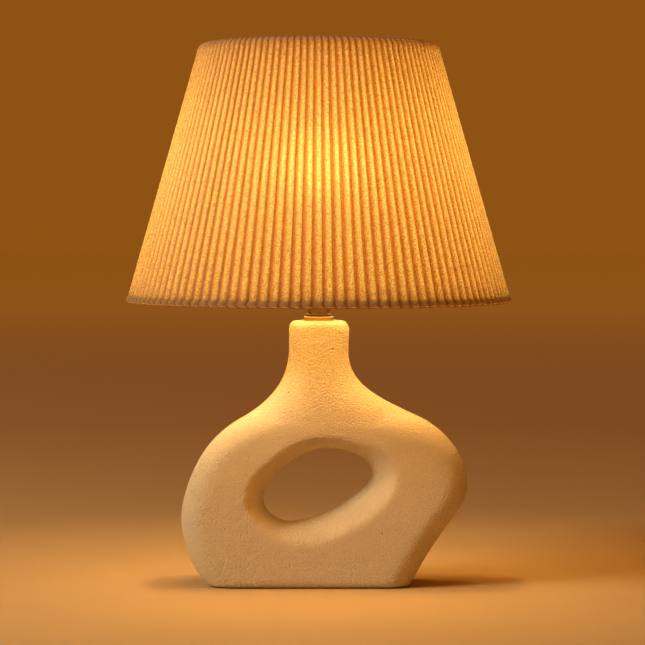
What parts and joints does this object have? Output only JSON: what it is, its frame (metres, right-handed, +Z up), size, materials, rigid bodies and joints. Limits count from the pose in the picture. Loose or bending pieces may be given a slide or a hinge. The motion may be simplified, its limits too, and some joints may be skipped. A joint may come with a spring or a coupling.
{
  "type": "table lamp",
  "caption": "Table lamp with a sculptural ceramic base pierced by a slanted oval opening, brass neck fittings and a ribbed conical fabric shade on a harp.",
  "frame": {"origin": "centre of the underside's footprint box, on the axis of the neck and shade", "axes": "+Z up along the neck and shade axis, -Y towards the front face of the base, +X to the right seen from the front"},
  "size_m": [0.3444, 0.3443, 0.4875],
  "materials": {
    "ceramic": "matte sandy",
    "felt": "felt",
    "rubber": "matte",
    "steel": "zinc plated",
    "brass": "satin",
    "fibre": "pressed fibre",
    "moulding": "moulded phenolic",
    "bulb_glass": "frosted",
    "filament": "glowing",
    "aluminium": "drawn",
    "black_glass": "glossy",
    "shade_fabric": "napped rib knit",
    "shade_liner": "translucent",
    "tape": "woven tape"
  },
  "bodies": {
    "base": {"ceramic_base": "ceramic", "felt_pad": "felt", "inlet_grommet": "rubber", "toggle_bar": "steel", "rod_nut": "steel", "threaded_rod": "steel", "check_ring": "brass", "brass_neck": "brass", "harp_saddle": "brass", "lock_washer": "steel", "socket_cap": "brass", "socket_shell": "brass", "insulating_sleeve": "fibre", "socket_block": "moulding", "thread_shell": "aluminium", "centre_contact": "brass", "terminal_screws": "brass", "harp": "brass", "harp_seat": "brass"},
    "switch": {"switch_shaft": "steel", "switch_knob": "moulding"},
    "bulb": {"bulb_glass": "bulb_glass", "bulb_base": "aluminium", "bulb_insulator": "black_glass", "bulb_contact": "brass", "bulb_stem": "bulb_glass", "bulb_filaments": "filament"},
    "sleeve_left": {"harp_sleeve_left": "brass"},
    "sleeve_right": {"harp_sleeve_right": "brass"},
    "shade": {"shade_cover": "shade_fabric", "shade_liner": "shade_liner", "top_tape": "tape", "bottom_tape": "tape", "top_ring": "steel", "bottom_ring": "steel", "shade_spider": "brass"},
    "finial": {"finial": "brass"}
  },
  "joints": [
    {"name": "switch_turn", "type": "hinge", "parent": "base", "child": "switch", "pos_m": [0, -0.03, 0.2837], "axis": [0, -1, 0], "continuous": true},
    {"name": "bulb_turn", "type": "hinge", "parent": "base", "child": "bulb", "pos_m": [0, 0, 0.35], "axis": [0, 0, 1], "range_deg": [0, 900]},
    {"name": "sleeve_left_slide", "type": "slide", "parent": "base", "child": "sleeve_left", "axis": [0, 0, 1], "range_m": [0, 0.012]},
    {"name": "sleeve_right_slide", "type": "slide", "parent": "base", "child": "sleeve_right", "axis": [0, 0, 1], "range_m": [0, 0.012]},
    {"name": "shade_turn", "type": "hinge", "parent": "base", "child": "shade", "pos_m": [0, 0, 0.4648], "axis": [0, 0, 1], "continuous": true},
    {"name": "finial_turn", "type": "hinge", "parent": "base", "child": "finial", "pos_m": [0, 0, 0.475], "axis": [0, 0, 1], "continuous": true}
  ]
}
